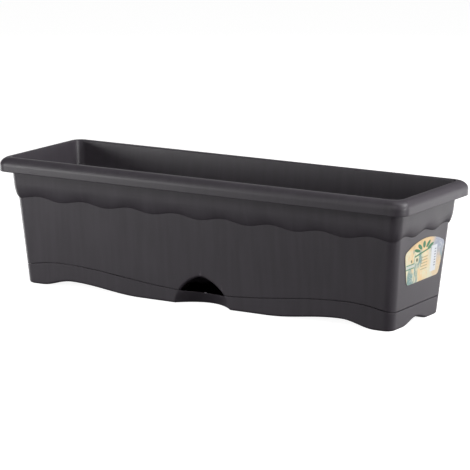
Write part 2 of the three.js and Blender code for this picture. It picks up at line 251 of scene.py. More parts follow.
def bell_half(z):
    """Half-width of the scoop's bell-shaped mouth at height z."""
    share = np.clip(z / SCOOP_HEIGHT, 0, 1)
    return SCOOP_HALF * (1 - share ** SCOOP_POWER) ** (1 / SCOOP_POWER)


# ------------------------------------------------------------------ meshes


def stations(long_shares, short_shares, corner_steps):
    """Points round a rounded rectangle, anticlockwise from above.

    A row holds how far the corner's centre goes in x and y, and the direction out of it.
    """
    corners = [(1, -1), (1, 1), (-1, 1), (-1, -1)]
    rows = []
    for index, corner in enumerate(corners):
        before = corners[index - 1]
        start = math.radians(90 * index - 90)
        for share in (short_shares if index % 2 else long_shares):
            along = [a + (b - a) * share for a, b in zip(before, corner)]
            rows.append((*along, math.cos(start), math.sin(start)))
        for step in range(corner_steps + 1):
            angle = start + math.pi / 2 * step / corner_steps
            rows.append((*corner, math.cos(angle), math.sin(angle)))
    return np.array(rows)


def side_shares(end_steps, middle_steps, middle):
    """Shares along a side, closer together over the middle part."""
    low, high = 0.5 - middle / 2, 0.5 + middle / 2
    parts = [
        np.linspace(0, low, end_steps, endpoint=False),
        np.linspace(low, high, middle_steps, endpoint=False),
        np.linspace(high, 1, end_steps, endpoint=False),
    ]
    return np.concatenate(parts)[1:]


# Closer together over the scoop on the long sides, and over the arch at the ends.
ROUND = stations(side_shares(70, 84, 0.19), side_shares(16, 20, 0.4), 14)


def raised(height, rise):
    """A height, given as a number or as a function of x and y, moved up by a rise."""
    if callable(height):
        return lambda x, y: height(x, y) + rise
    return height + rise


def between(low, high, share):
    """The height a share of the way up from one function of x and y to another."""
    return lambda x, y: low(x, y) + (high(x, y) - low(x, y)) * share


def closing_corner(offset, half_y):
    """Corner radius of a ring: it follows the walls near them, and closes up at the middle line."""
    near = min(max(offset, 0), CORNER_KEPT)
    return (WALL_CORNER - near) * (half_y - max(offset, CORNER_KEPT)) / (half_y - CORNER_KEPT)


class Loft:
    """Rings of matching points round the box, from one end of a profile to the other."""

    def __init__(self):
        self.rings = []

    def ring(self, height, inset, corner):
        """Height is a number or a function of x and y. Inset is a number or a function of height."""

        def place(inset_now):
            half_x = LENGTH / 2 - inset_now - corner
            half_y = WIDTH / 2 - inset_now - corner
            x = half_x * ROUND[:, 0] + corner * ROUND[:, 2]
            y = half_y * ROUND[:, 1] + corner * ROUND[:, 3]
            return x, y

        def height_at(x, y):
            return height(x, y) if callable(height) else np.full_like(x, height)

        def inset_at(z):
            return inset(z) if callable(inset) else np.full_like(z, inset)

        x, y = place(FOOT_INSET)
        z = height_at(x, y)
        x, y = place(inset_at(z))
        self.rings.append(np.column_stack([x, y, height_at(x, y)]))

    def wall(self, height, offset, corner=None):
        """A ring that stands offset inside the leaning wall's outer face, its corner to match."""
        if corner is None:
            corner = WALL_CORNER - max(offset, 0)
        self.ring(height, lambda z: wall_inset(z) + offset, corner)

    def floor(self, height, level, offset):
        """A ring on a floor near a level. Its corners close up as it shrinks to the middle line."""
        half_y = WIDTH / 2 - wall_inset(level)
        self.ring(height, wall_inset(level) + offset, closing_corner(offset, half_y))

    def turn(self, add, height, offset, radius, start, end, steps=4):
        """Rings round an arc. Angles are in degrees: 0 points out of the box, 90 up."""
        for step in range(steps + 1):
            angle = math.radians(start + (end - start) * step / steps)
            add(raised(height, radius * math.sin(angle)), offset - radius * math.cos(angle))

    def points(self):
        return np.concatenate(self.rings)

    def faces(self):
        count = len(ROUND)
        quads = []
        for level in range(len(self.rings) - 1):
            low = level * count
            for i in range(count):
                after = (i + 1) % count
                quads.append((low + i, low + after, low + count + after, low + count + i))
        return quads


def make_mesh(name, points, faces, weld=1e-3):
    """A closed mesh object from points in millimetres."""
    mesh = bpy.data.meshes.new(name)
    mesh.from_pydata((np.asarray(points) * MM).tolist(), [], faces)
    work = bmesh.new()
    work.from_mesh(mesh)
    bmesh.ops.remove_doubles(work, verts=work.verts, dist=weld * MM)
    bmesh.ops.dissolve_degenerate(work, edges=work.edges, dist=weld * MM / 4)
    bmesh.ops.recalc_face_normals(work, faces=work.faces)
    work.to_mesh(mesh)
    work.free()
    piece = bpy.data.objects.new(name, mesh)
    bpy.context.scene.collection.objects.link(piece)
    return piece


def discard(*pieces):
    for piece in pieces:
        bpy.data.objects.remove(piece)


def apply_modifiers(piece):
    """Turns a piece's modifiers into its mesh."""
    graph = bpy.context.evaluated_depsgraph_get()
    final = bpy.data.meshes.new_from_object(piece.evaluated_get(graph))
    final.name = piece.name
    piece.modifiers.clear()
    piece.data = final


def combine(piece, operation, *others):
    """Joins to, cuts from or keeps of a piece what the others cover."""
    for other in others:
        step = piece.modifiers.new(operation, "BOOLEAN")
        step.operation = operation
        step.solver = "MANIFOLD"
        step.object = other
    apply_modifiers(piece)
    discard(*others)
    return piece


def shade(piece, sharp_degrees=32):
    """Smooth shading, with creases where the surface turns sharply."""
    piece.data.shade_smooth()
    piece.data.set_sharp_from_angle(angle=math.radians(sharp_degrees))
    weighted = piece.modifiers.new("weighted", "WEIGHTED_NORMAL")
    weighted.keep_sharp = True
    apply_modifiers(piece)
    return piece


def spin(name, profile, steps, at=(0, 0)):
    """A solid of revolution round a vertical line. The profile runs from axis to axis."""
    points = []
    for radius, z in profile:
        for step in range(steps):
            angle = 2 * math.pi * step / steps
            points.append((at[0] + radius * math.cos(angle), at[1] + radius * math.sin(angle), z))
    faces = []
    for level in range(len(profile) - 1):
        for i in range(steps):
            after = (i + 1) % steps
            low, high = level * steps, (level + 1) * steps
            faces.append((low + i, low + after, high + after, high + i))
    return make_mesh(name, points, faces)


def block(name, low, high):
    """A plain block between two corners, for cutting."""
    spans = list(zip(low, high))
    corners = [(x, y, z) for z in spans[2] for y in spans[1] for x in spans[0]]
    faces = [(0, 1, 3, 2), (4, 5, 7, 6), (0, 1, 5, 4), (2, 3, 7, 6), (0, 2, 6, 4), (1, 3, 7, 5)]
    return make_mesh(name, corners, faces)


# ------------------------------------------------------------------ planter box


def rim_corner(inset):
    return RIM_CORNER - (RIM_CORNER - WALL_CORNER) * min(1, inset / RIM_WIDTH)


def joint_top(x, y):
    """Lower edge of the trough's wall, on the joint's upper side."""
    return seam_height(x) + SEAM_GAP / 2


def add_skirt(loft):
    """The floor's underside and the skirt that drops inside the tray, up to the joint."""
    outer = TRAY_WALL + SKIRT_CLEARANCE
    inner = outer + SKIRT
    half = SKIRT / 2
    under_floor = FLOOR_TOP - FLOOR
    fillet_foot = under_floor - SKIRT_FILLET

    def foot(x, y):
        return seam_height(x) - SKIRT_DROP + half

    def halfway(x, y):
        return (foot(x, y) + fillet_foot) / 2

    half_y = WIDTH / 2 - wall_inset(under_floor)
    for offset in np.linspace(half_y, inner + SKIRT_FILLET, FLOOR_RINGS):
        loft.floor(under_floor, under_floor, offset)
    loft.wall(under_floor - SKIRT_FILLET / 4, inner + SKIRT_FILLET / 4)
    loft.wall(fillet_foot, inner)
    loft.wall(halfway, inner)
    loft.turn(loft.wall, foot, outer + half, half, 180, 360, 8)
    loft.wall(raised(joint_top, -JOINT_STEP), outer)
    loft.wall(joint_top, outer - SKIRT_CLEARANCE)
    loft.turn(loft.wall, raised(joint_top, SEAM_EDGE), SEAM_EDGE, SEAM_EDGE, -90, 0)


def add_wall(loft):
    """The outer wall from the joint to the crease, and the band that rolls out above it."""
    start = raised(joint_top, SEAM_EDGE)
    for share in np.linspace(0, 1, WALL_RINGS)[1:-1]:
        loft.wall(between(start, crease_height, share), 0)

    def roll_top(x, y):
        return WAVE_MIDDLE + BAND_ROLL

    for share in BAND_SHARES:
        bulge = (1 - (1 - share) ** 2) ** BAND_BULGE
        loft.wall(between(crease_height, roll_top, share), -BAND_PROUD * bulge)
    for z in LEVELS_OVER_BAND:
        loft.wall(z, -BAND_PROUD)


def add_rim(loft):
    """Up inside the rim's channel, down and round its flange, and over the shoulder to the lip."""

    def ring(z, inset):
        loft.ring(z, inset, rim_corner(inset))

    under = HEIGHT - RIM_SKIN
    shoulder_z = HEIGHT - RIM_SHOULDER
    foot = HEIGHT - RIM_DROP
    root = wall_inset(under) - BAND_PROUD
    for z in LEVELS_IN_CHANNEL:
        loft.wall(z, -BAND_PROUD)
    loft.wall(under - CHANNEL_FILLET, -BAND_PROUD)
    ring(under - CHANNEL_FILLET / 6, root - CHANNEL_FILLET / 12)
    loft.turn(ring, shoulder_z, RIM_SHOULDER, RIM_SHOULDER - RIM_SKIN, 90, 0, 8)
    loft.turn(ring, foot + RIM_EDGE, RIM_SKIN - RIM_EDGE, RIM_EDGE, 180, 270)
    loft.turn(ring, foot + RIM_EDGE, RIM_EDGE, RIM_EDGE, 270, 360)
    for share in (0.33, 0.66):
        ring(foot + RIM_EDGE + (shoulder_z - foot - RIM_EDGE) * share, 0)
    loft.turn(ring, shoulder_z, RIM_SHOULDER, RIM_SHOULDER, 0, 90, 16)
    ring(HEIGHT, (RIM_SHOULDER + RIM_WIDTH) / 2)


def add_inside(loft):
    """From the lip down the inner wall and its ledge to the floor."""
    inner_corner = WALL_CORNER - WALL
    ledge = TRAY_WALL + SKIRT_CLEARANCE + SKIRT
    mouth = wall_inset(HEIGHT) + WALL - BAND_PROUD
    for degrees in range(0, 91, 15):
        angle = math.radians(degrees)
        inset = RIM_WIDTH + (mouth - RIM_WIDTH) * (1 - math.cos(angle))
        corner = rim_corner(inset) + (inner_corner - WALL_CORNER) * math.sin(angle)
        loft.ring(HEIGHT - LIP_ROUND * math.sin(angle), inset, corner)
    wave_top = WAVE_MIDDLE + WAVE_DEPTH / 2 + INSIDE_WAVE_GAP
    for z in (*LEVELS_INSIDE, wave_top + BAND_ROLL):
        loft.wall(z, WALL - BAND_PROUD, inner_corner)
    for share in np.linspace(1, 0, INSIDE_RINGS)[1:]:
        loft.wall(wave_top + BAND_ROLL * share, WALL - BAND_PROUD * float(ease(share)), inner_corner)
    ledge_foot = SEAM_CREST + LEDGE_ABOVE_SEAM
    ledge_top = ledge_foot + ledge - WALL
    for z in np.linspace(wave_top, ledge_top + 1, INSIDE_RINGS)[1:]:
        loft.wall(z, WALL, inner_corner)
    loft.wall(ledge_top + 0.2, WALL + 0.2, inner_corner)
    loft.wall(ledge_foot + 0.3, ledge - 0.2)
    loft.wall(ledge_foot - 0.5, ledge)
    loft.turn(loft.wall, FLOOR_TOP + FLOOR_FILLET, ledge + FLOOR_FILLET, FLOOR_FILLET, 0, -90, 6)
    half_y = WIDTH / 2 - wall_inset(FLOOR_TOP)
    for offset in np.linspace(ledge + FLOOR_FILLET, half_y, FLOOR_RINGS)[1:]:
        loft.floor(FLOOR_TOP, FLOOR_TOP, offset)


def scoop_dome(name, grow, rings):
    """Bell-shaped dome of the scoop.

    A ring tells whether it leans with the wall, its depth behind the wall's foot, how far
    its outline flares, and its share of the full outline.
    """
    points = []
    for from_wall, depth, flare, share in rings:
        side = (SCOOP_HALF + grow + flare) * share
        top = (SCOOP_HEIGHT + grow + flare) * share
        for step in range(SCOOP_STEPS + 1):
            angle = math.pi * (1 - step / SCOOP_STEPS)
            x = side * math.copysign(abs(math.cos(angle)) ** (2 / SCOOP_POWER), math.cos(angle))
            z = top * max(math.sin(angle), 0) ** (2 / SCOOP_POWER)
            slope = -DRAFT * z if from_wall else 0
            points.append((x, FOOT_INSET - WIDTH / 2 + slope + depth, z))
        base_y = FOOT_INSET - WIDTH / 2 + depth
        points.append((side, base_y, -1))
        points.append((-side, base_y, -1))
    count = SCOOP_STEPS + 3
    last = (len(rings) - 1) * count
    faces = [tuple(range(count)), tuple(range(last, last + count))]
    for level in range(len(rings) - 1):
        for i in range(count):
            after = (i + 1) % count
            low, high = level * count, (level + 1) * count
            faces.append((low + i, low + after, high + after, high + i))
    return make_mesh(name, points, faces)


def scoop_rings(flare, start):
    """The mouth's flared edge follows the leaning wall; behind it the dome closes in."""
    rings = [(True, start, flare, 1)]
    if flare:
        for degrees in range(0, 91, 15):
            angle = math.radians(degrees)
            rings.append((True, flare * (1 - math.cos(angle)), flare * (1 - math.sin(angle)), 1))
    for degrees in range(10, 88, 4):
        angle = math.radians(degrees)
        rings.append((False, SCOOP_DEPTH * math.sin(angle), 0, math.cos(angle)))
    return rings


def drain_places():
    y = WIDTH / 2 - FOOT_INSET - DRAIN_INSET
    end_x = LENGTH / 2 - FOOT_INSET - DRAIN_INSET
    columns = [*CUP_CENTRES, -end_x, end_x]
    return [(x, side * y) for x in columns for side in (-1, 1)]


def hole_cutter(name, at, radius, steps):
    """A cutter for a hole through the floor, with its edges eased."""
    under = FLOOR_TOP - FLOOR
    profile = [
        (0, under - CUT_PAST),
        (radius + HOLE_EDGE + CUT_PAST, under - CUT_PAST),
        (radius, under + HOLE_EDGE),
        (radius, FLOOR_TOP - HOLE_EDGE),
        (radius + HOLE_EDGE + CUT_PAST, FLOOR_TOP + CUT_PAST),
        (0, FLOOR_TOP + CUT_PAST),
    ]
    return spin(name, profile, steps, at)


def make_planter_box():
    loft = Loft()
    for section in (add_skirt, add_wall, add_rim, add_inside):
        section(loft)
    box = make_mesh("planter_shell", loft.points(), loft.faces())

    hood = scoop_dome("hood", SCOOP_SKIN, scoop_rings(0, HOOD_START))
    above_floor = block("above", (-LENGTH, -WIDTH, FLOOR_TOP - FLOOR / 2), (LENGTH, WIDTH, HEIGHT))
    combine(hood, "INTERSECT", above_floor)
    combine(box, "UNION", hood)
    cutters = [scoop_dome("scoop", 0, scoop_rings(SCOOP_EDGE, MOUTH_START))]
    cutters += [hole_cutter("cup_hole", (x, 0), CUP_HOLE_RADIUS, CUP_STEPS) for x in CUP_CENTRES]
    cutters += [hole_cutter("drain", place, DRAIN_RADIUS, DRAIN_STEPS) for place in drain_places()]
    combine(box, "DIFFERENCE", *cutters)
    return shade(box)


# ------------------------------------------------------------------ reservoir tray


def recess(points, reach):
    """Moves points of the tray's front back into the recess below the scoop.

    reach tells how much of the move each point takes: all of it at the wall, none far behind.
    """
    x, y, z = points.T
    share = np.clip(np.abs(x) / bell_half(np.minimum(z, TRAY_LIP)), 0, 1)
    rise = np.clip(z / TRAY_LIP, 0, 1)
    setback = FOOT_SETBACK + (LIP_SETBACK - FOOT_SETBACK) * rise
    moved = points.copy()
    moved[:, 1] += setback * (1 - share ** 2) * reach * (y < 0)
    return moved


def tray_top(x, y):
    """The tray's upper edge: it follows the joint, and dips to the lip under the scoop."""
    joint = seam_height(x) - SEAM_GAP / 2
    share = np.clip(np.abs(x) / bell_half(TRAY_LIP), 0, 1)
    dip = (joint - TRAY_LIP) * (1 - share ** 2) ** 0.5
    return joint - np.where(y < 0, dip, 0)


def tray_edge(x, y):
    """Where the rounding of the tray's upper edge starts."""
    return tray_top(x, y) - SEAM_EDGE


def make_reservoir_tray():
    loft = Loft()
    reaches = []
    half_y = WIDTH / 2 - FOOT_INSET

    def add(height, offset, depth=0.0):
        loft.wall(height, offset)
        reaches.append(float(ease(1 - depth / SETBACK_REACH)))

    def add_flat(height, offset):
        loft.ring(height, FOOT_INSET + offset, closing_corner(offset, half_y))
        reaches.append(float(ease(1 - offset / SETBACK_REACH)))

    under_middle = np.linspace(half_y, FLAT_MARGIN, FLAT_RINGS)
    for offset in (*under_middle, *np.linspace(FLAT_MARGIN, FOOT_ROUND, 7)[1:]):
        add_flat(underside, offset)
    for degrees in range(15, 91, 15):
        angle = math.radians(degrees)
        rise = FOOT_ROUND * (1 - math.cos(angle))
        add(raised(underside, rise), FOOT_ROUND * (1 - math.sin(angle)))
    for share in np.linspace(0, 1, 8)[1:-1]:
        add(between(raised(underside, FOOT_ROUND), tray_edge, share), 0)
    loft.turn(add, tray_edge, SEAM_EDGE, SEAM_EDGE, 0, 90, 3)
    loft.turn(add, tray_edge, TRAY_WALL - SEAM_EDGE, SEAM_EDGE, 90, 180, 3)
    for share in np.linspace(1, 0, 6)[1:]:
        add(between(raised(underside, TRAY_FLOOR + TRAY_FILLET), tray_edge, share), TRAY_WALL)
    fillet_middle = 0.3 * TRAY_FILLET
    add(raised(underside, TRAY_FLOOR + fillet_middle), TRAY_WALL + fillet_middle, fillet_middle)
    near_wall = np.linspace(TRAY_WALL + TRAY_FILLET, FLAT_MARGIN, 7)
    for offset in (*near_wall, *np.linspace(FLAT_MARGIN, half_y, FLAT_RINGS)[1:]):
        add_flat(raised(underside, TRAY_FLOOR), offset)

    points = recess(loft.points(), np.repeat(reaches, len(ROUND)))
    tray = make_mesh("tray_shell", points, loft.faces())
    posts = [make_post(x, y) for x, y in post_places()]
    combine(tray, "UNION", *posts, make_nub())
    return shade(tray)


def post_places():
    y = WIDTH / 2 - FOOT_INSET - POST_INSET
    end_x = LENGTH / 2 - FOOT_INSET - 2 * POST_INSET
    columns = [-end_x, -BETWEEN_CUPS, BETWEEN_CUPS, end_x]
    return [(x, side * y) for x in columns for side in (-1, 1)]


def make_post(x, y):
    """A post with a flared foot that carries the trough's floor."""
    floor = float(underside(np.array(x), np.array(y))) + TRAY_FLOOR
    top = FLOOR_TOP - FLOOR - REST_GAP
    profile = [(0, floor - 1), (POST_RADIUS + POST_FLARE, floor - 1)]
    for angle in np.linspace(0, math.pi / 2, 6):
        radius = POST_RADIUS + POST_FLARE * (1 - math.sin(angle))
        profile.append((radius, floor + POST_FLARE * (1 - math.cos(angle))))
    profile += [(POST_RADIUS, top - POST_EDGE), (POST_RADIUS - POST_EDGE, top), (0, top)]
    return spin("post", profile, POST_STEPS, (x, y))


def make_nub():
    """The small moulding nub on the tray's lip."""
    lip_y = FOOT_INSET - DRAFT * TRAY_LIP - WIDTH / 2 + LIP_SETBACK
    bpy.ops.mesh.primitive_uv_sphere_add(segments=24, ring_count=16)
    nub = bpy.context.object
    nub.scale = [half * MM for half in NUB_HALF]
    nub.location = (NUB_X * MM, (lip_y + NUB_BEHIND_LIP) * MM, TRAY_LIP * MM)
    bpy.ops.object.transform_apply()
    return nub


# ------------------------------------------------------------------ wick cups and wicks


def make_cup(number):
    node = f"wick_cup_{number}"
    low, high = box_mm(node)
    x = middle_x(node)
    flange = (high[0] - low[0]) / 2
    top = CUP_HOLE_RADIUS - CUP_CLEARANCE
    foot = top - CUP_TAPER
    seat = FLOOR_TOP + REST_GAP
    profile = [
        (0, low[2]),
        (foot - CUP_FOOT_EDGE, low[2]),
        (foot - 0.3 * CUP_FOOT_EDGE, low[2] + 0.3 * CUP_FOOT_EDGE),
        (foot, low[2] + CUP_FOOT_EDGE),
        (top, seat),
        (flange - CUP_FLANGE_EDGE, seat),
        (flange, seat + CUP_FLANGE_EDGE),
        (flange, high[2] - CUP_LIP_EDGE),
        (flange - 0.2, high[2] - 0.2),
        (flange - CUP_LIP_EDGE, high[2]),
        (top - CUP_WALL + CUP_INSIDE_EDGE, high[2]),
        (top - CUP_WALL, high[2] - CUP_INSIDE_EDGE),
        (foot - CUP_WALL, low[2] + CUP_WALL + CUP_FOOT_EDGE),
        (foot - CUP_WALL - CUP_FOOT_EDGE, low[2] + CUP_WALL),
        (0, low[2] + CUP_WALL),
    ]
    cup = spin(f"cup_{number}", profile, CUP_STEPS, (x, 0))
    for window in range(CUP_WINDOWS):
        angle = 2 * math.pi * (window + 0.5) / CUP_WINDOWS
        cutter = window_cutter(low[2] + CUP_WALL + 1)
        turned = Matrix.Translation((x * MM, 0, 0)) @ Matrix.Rotation(angle, 4, "Z")
        cutter.data.transform(turned)
        combine(cup, "DIFFERENCE", cutter)
    wick_low, wick_high = box_mm(f"felt_wick_{number}")
    half_y = (wick_high[1] - wick_low[1]) / 2 + WICK_CLEARANCE
    half_x = WICK_THICKNESS / 2 + WICK_CLEARANCE
    slot_low = (x - half_x, -half_y, low[2] - 1)
    slot_high = (x + half_x, half_y, low[2] + CUP_WALL + 1)
    combine(cup, "DIFFERENCE", block("slot", slot_low, slot_high))
    return shade(cup)


def window_cutter(bottom):
    """An upright slot with round ends, from the cup's middle outward."""
    radius = CUP_WINDOW_WIDTH / 2
    centre = [(0, bottom + radius), (0, bottom + CUP_WINDOW_HEIGHT - radius)]
    outline = []
    for half, (y, z) in enumerate(centre):
        for step in range(9):
            angle = math.pi * (half + 1 + step / 8)
            outline.append((y + radius * math.cos(angle), z + radius * math.sin(angle)))
    count = len(outline)
    reaches = (CUP_HOLE_RADIUS / 2, 2 * CUP_HOLE_RADIUS)
    points = [(reach, y, z) for reach in reaches for y, z in outline]
    faces = [tuple(range(count)), tuple(range(count, 2 * count))]
    faces += [(i, (i + 1) % count, count + (i + 1) % count, count + i) for i in range(count)]
    return make_mesh("window", points, faces)


def make_wick(number):
    """A felt strip with soft edges: up through the cup's slot, and leaning over at its top."""
    node = f"felt_wick_{number}"
    low, high = box_mm(node)
    x = CUP_CENTRES[number - 1]
    length = high[2] - low[2]
    half_thick = WICK_THICKNESS / 2
    half_wide = (high[1] - low[1]) / 2
    around, along = WICK_STEPS_AROUND, WICK_STEPS_ALONG
    angles = 2 * np.pi * np.arange(around) / around
    side = np.sign(np.cos(angles)) * np.abs(np.cos(angles)) ** WICK_SIDE_POWER
    across = np.sign(np.sin(angles)) * np.abs(np.sin(angles)) ** WICK_EDGE_POWER
    outward = math.copysign(1, x)
    noise = np.random.default_rng(number)
    rows = []
    for step in range(along + 1):
        z = low[2] + length * step / along
        shrink = WICK_END_SHARES.get(min(step, along - step), 1)
        narrow = 1 - (1 - shrink) * WICK_END_NARROWING
        fuzz = 1 - WICK_FUZZ * noise.random(around)
        edge_fuzz = 1 - WICK_EDGE_FUZZ * noise.random(around)
        lean = WICK_LEAN * float(ease((z - FLOOR_TOP) / (length - FLOOR_TOP))) * outward
        rows.append(np.column_stack([
            x + lean + half_thick * side * shrink * fuzz,
            half_wide * across * narrow * edge_fuzz,
            np.full(around, z),
        ]))
    faces = [tuple(range(around)), tuple(range(along * around, (along + 1) * around))]
    for level in range(along):
        for i in range(around):
            after = (i + 1) % around
            below, above = level * around, (level + 1) * around
            faces.append((below + i, below + after, above + after, above + i))
    wick = make_mesh(f"wick_{number}", np.concatenate(rows), faces)
    wick.data.shade_smooth()
    return wick


# ------------------------------------------------------------------ materials


class Finish:
    """A Principled material with short calls for its nodes."""

    def __init__(self, name):
        self.material = bpy.data.materials.new(name)
        self.material.use_nodes = True
        self.tree = self.material.node_tree
        self.shader = self.tree.nodes["Principled BSDF"]
        self.place = self.node("ShaderNodeTexCoord").outputs["Object"]

    def node(self, kind, **settings):
        made = self.tree.nodes.new(kind)
        for key, value in settings.items():
            setattr(made, key, value)
        return made

    def link(self, value, socket):
        if isinstance(value, bpy.types.NodeSocket):
            self.tree.links.new(value, socket)
        else:
            socket.default_value = value

    def math(self, operation, a, b=0.0):
        made = self.node("ShaderNodeMath", operation=operation)
        self.link(a, made.inputs[0])
        self.link(b, made.inputs[1])
        return made.outputs[0]

    def noise(self, scale, detail=3.0, stretch=(1, 1, 1), roughness=0.5):
        mapping = self.node("ShaderNodeMapping")
        self.link(self.place, mapping.inputs["Vector"])
        mapping.inputs["Scale"].default_value = stretch
        made = self.node("ShaderNodeTexNoise")
        self.link(mapping.outputs[0], made.inputs["Vector"])
        made.inputs["Scale"].default_value = scale
        made.inputs["Detail"].default_value = detail
        made.inputs["Roughness"].default_value = roughness
        return made.outputs[0]

    def span(self, value, low, high, to_low=0.0, to_high=1.0):
        """Maps a value from one span to another, smoothly and kept inside it."""
        made = self.node("ShaderNodeMapRange", interpolation_type="SMOOTHSTEP")
        self.link(value, made.inputs["Value"])
        made.inputs["From Min"].default_value = low
        made.inputs["From Max"].default_value = high
        made.inputs["To Min"].default_value = to_low
        made.inputs["To Max"].default_value = to_high
        return made.outputs[0]

    def mix(self, share, a, b):
        made = self.node("ShaderNodeMix", data_type="RGBA")
        self.link(share, made.inputs["Factor"])
        self.link(a, made.inputs["A"])
        self.link(b, made.inputs["B"])
        return made.outputs["Result"]

    def blend(self, a, share, b):
        """Adds up two values, a by its share and b by the rest."""
        return self.math("ADD", self.math("MULTIPLY", a, share), self.math("MULTIPLY", b, 1 - share))

    def bump(self, *layers):
        """Stacked bumps, each a height value with its strength and its depth in metres."""
        normal = None
        for height, strength, depth in layers:
            made = self.node("ShaderNodeBump")
            made.inputs["Strength"].default_value = strength
            made.inputs["Distance"].default_value = depth
            self.link(height, made.inputs["Height"])
            if normal is not None:
                self.link(normal, made.inputs["Normal"])
            normal = made.outputs[0]
        self.link(normal, self.shader.inputs["Normal"])


POLYPROPYLENE_IOR = 1.49
ROUGHNESS_SPREAD = 0.05
# How much lighter the painted highlight on sharp edges is.
EDGE_HIGHLIGHT_GAIN = 2.0


def resin(name, dark, light, rough):
    """Satin moulded polypropylene: fine grain, faint upright flow streaks, and a painted highlight
    on sharp edges.
    """
    finish = Finish(name)
    streaks = finish.noise(130, 4, (1, 1, 0.03))
    clouds = finish.noise(14, 3)
    grain = finish.noise(1500, 2)
    blend = finish.blend(streaks, 0.6, clouds)
    colour = finish.mix(finish.span(blend, 0.35, 0.65), (*dark, 1), (*light, 1))
    # Sharp convex edges get a lighter colour from Pointiness: a painted highlight.
    geometry = finish.node("ShaderNodeNewGeometry")
    edge_highlight = finish.span(geometry.outputs["Pointiness"], 0.53, 0.62, 0.0, 0.5)
    highlight_colour = [min(1, EDGE_HIGHLIGHT_GAIN * value) for value in light]
    finish.link(finish.mix(edge_highlight, colour, (*highlight_colour, 1)), finish.shader.inputs["Base Color"])
    uneven = finish.blend(grain, 0.5, streaks)
    roughness = finish.span(uneven, 0.3, 0.7, rough - ROUGHNESS_SPREAD, rough + ROUGHNESS_SPREAD)
    finish.link(roughness, finish.shader.inputs["Roughness"])
    finish.bump((grain, 0.25, 0.0001), (streaks, 0.06, 0.0004))
    finish.shader.inputs["IOR"].default_value = POLYPROPYLENE_IOR
    return finish.material


def felt():
    """Pressed wool felt: matted fibres in two lengths, with a soft sheen."""
    finish = Finish("wick_felt")
    fibres = finish.noise(900, 6, (1, 1, 0.35), 0.7)
    mats = finish.noise(160, 4)
    colour = finish.mix(finish.span(mats, 0.3, 0.7), (0.52, 0.49, 0.42, 1), (0.68, 0.65, 0.58, 1))
    flecked = finish.mix(finish.span(fibres, 0.52, 0.75, 0, 0.55), colour, (0.3, 0.28, 0.24, 1))
    finish.link(flecked, finish.shader.inputs["Base Color"])
    finish.shader.inputs["Roughness"].default_value = 0.95
    finish.shader.inputs["Sheen Weight"].default_value = 0.35
    finish.bump((mats, 0.5, 0.0006), (fibres, 0.8, 0.0004))
    return finish.material


# The label's colours and art: shares of its half-width and half-height, and angles in degrees.
GREEN = (0.006, 0.16, 0.055)
PEACH = (0.78, 0.55, 0.27)
CREAM = (0.72, 0.67, 0.46)
TEAL = (0.17, 0.3, 0.28)
LAVENDER = (0.3, 0.33, 0.42)
LEAF = (0.07, 0.17)
SPRIG = (
    ((-0.4, 0.52), 62),
    ((-0.27, 0.66), 34),
    ((-0.06, 0.72), 4),
    ((0.15, 0.68), -28),
    ((0.28, 0.56), -58),
)
DROPS = (((-0.38, 0.08), (0.05, 0.09)), ((-0.66, 0.1), (0.035, 0.07)))
TEXT_LINES = 5
STRIPES_PER_METRE = 90


class Print(Finish):
    """A printed label: shapes laid over a mottled ground, in the label's own plane."""

    def __init__(self, name, middle, size):
        super().__init__(name)
        parts = self.node("ShaderNodeSeparateXYZ")
        self.link(self.place, parts.inputs[0])
        y = self.math("SUBTRACT", parts.outputs[1], middle[0])
        z = self.math("SUBTRACT", parts.outputs[2], middle[1])
        self.across = self.math("DIVIDE", y, size[0] / 2)
        self.up = self.math("DIVIDE", z, size[1] / 2)
        self.colour = None

    def lay(self, colour, mask):
        self.colour = self.mix(mask, self.colour, (*colour, 1))

    def turned(self, at, degrees):
        """Coordinates from a point, turned: across the shape, then along it."""
        cosine, sine = math.cos(math.radians(degrees)), math.sin(math.radians(degrees))
        dx = self.math("SUBTRACT", self.across, at[0])
        dy = self.math("SUBTRACT", self.up, at[1])
        first = self.math("ADD", self.math("MULTIPLY", dx, cosine), self.math("MULTIPLY", dy, sine))
        back = self.math("MULTIPLY", dy, cosine)
        second = self.math("SUBTRACT", back, self.math("MULTIPLY", dx, sine))
        return first, second

    def oval(self, at, half, degrees=0, soft=0.12):
        first, second = self.turned(at, degrees)
        squares = []
        for value, half_size in ((first, half[0]), (second, half[1])):
            distance = self.math("ABSOLUTE", self.math("DIVIDE", value, half_size))
            squares.append(self.math("POWER", distance, 2))
        return self.span(self.math("ADD", *squares), 1 + soft, 1 - soft)

    def bar(self, at, half, degrees=0, soft=0.02):
        first, second = self.turned(at, degrees)
        a = self.span(self.math("ABSOLUTE", first), half[0] + soft, half[0] - soft)
        b = self.span(self.math("ABSOLUTE", second), half[1] + soft, half[1] - soft)
        return self.math("MULTIPLY", a, b)


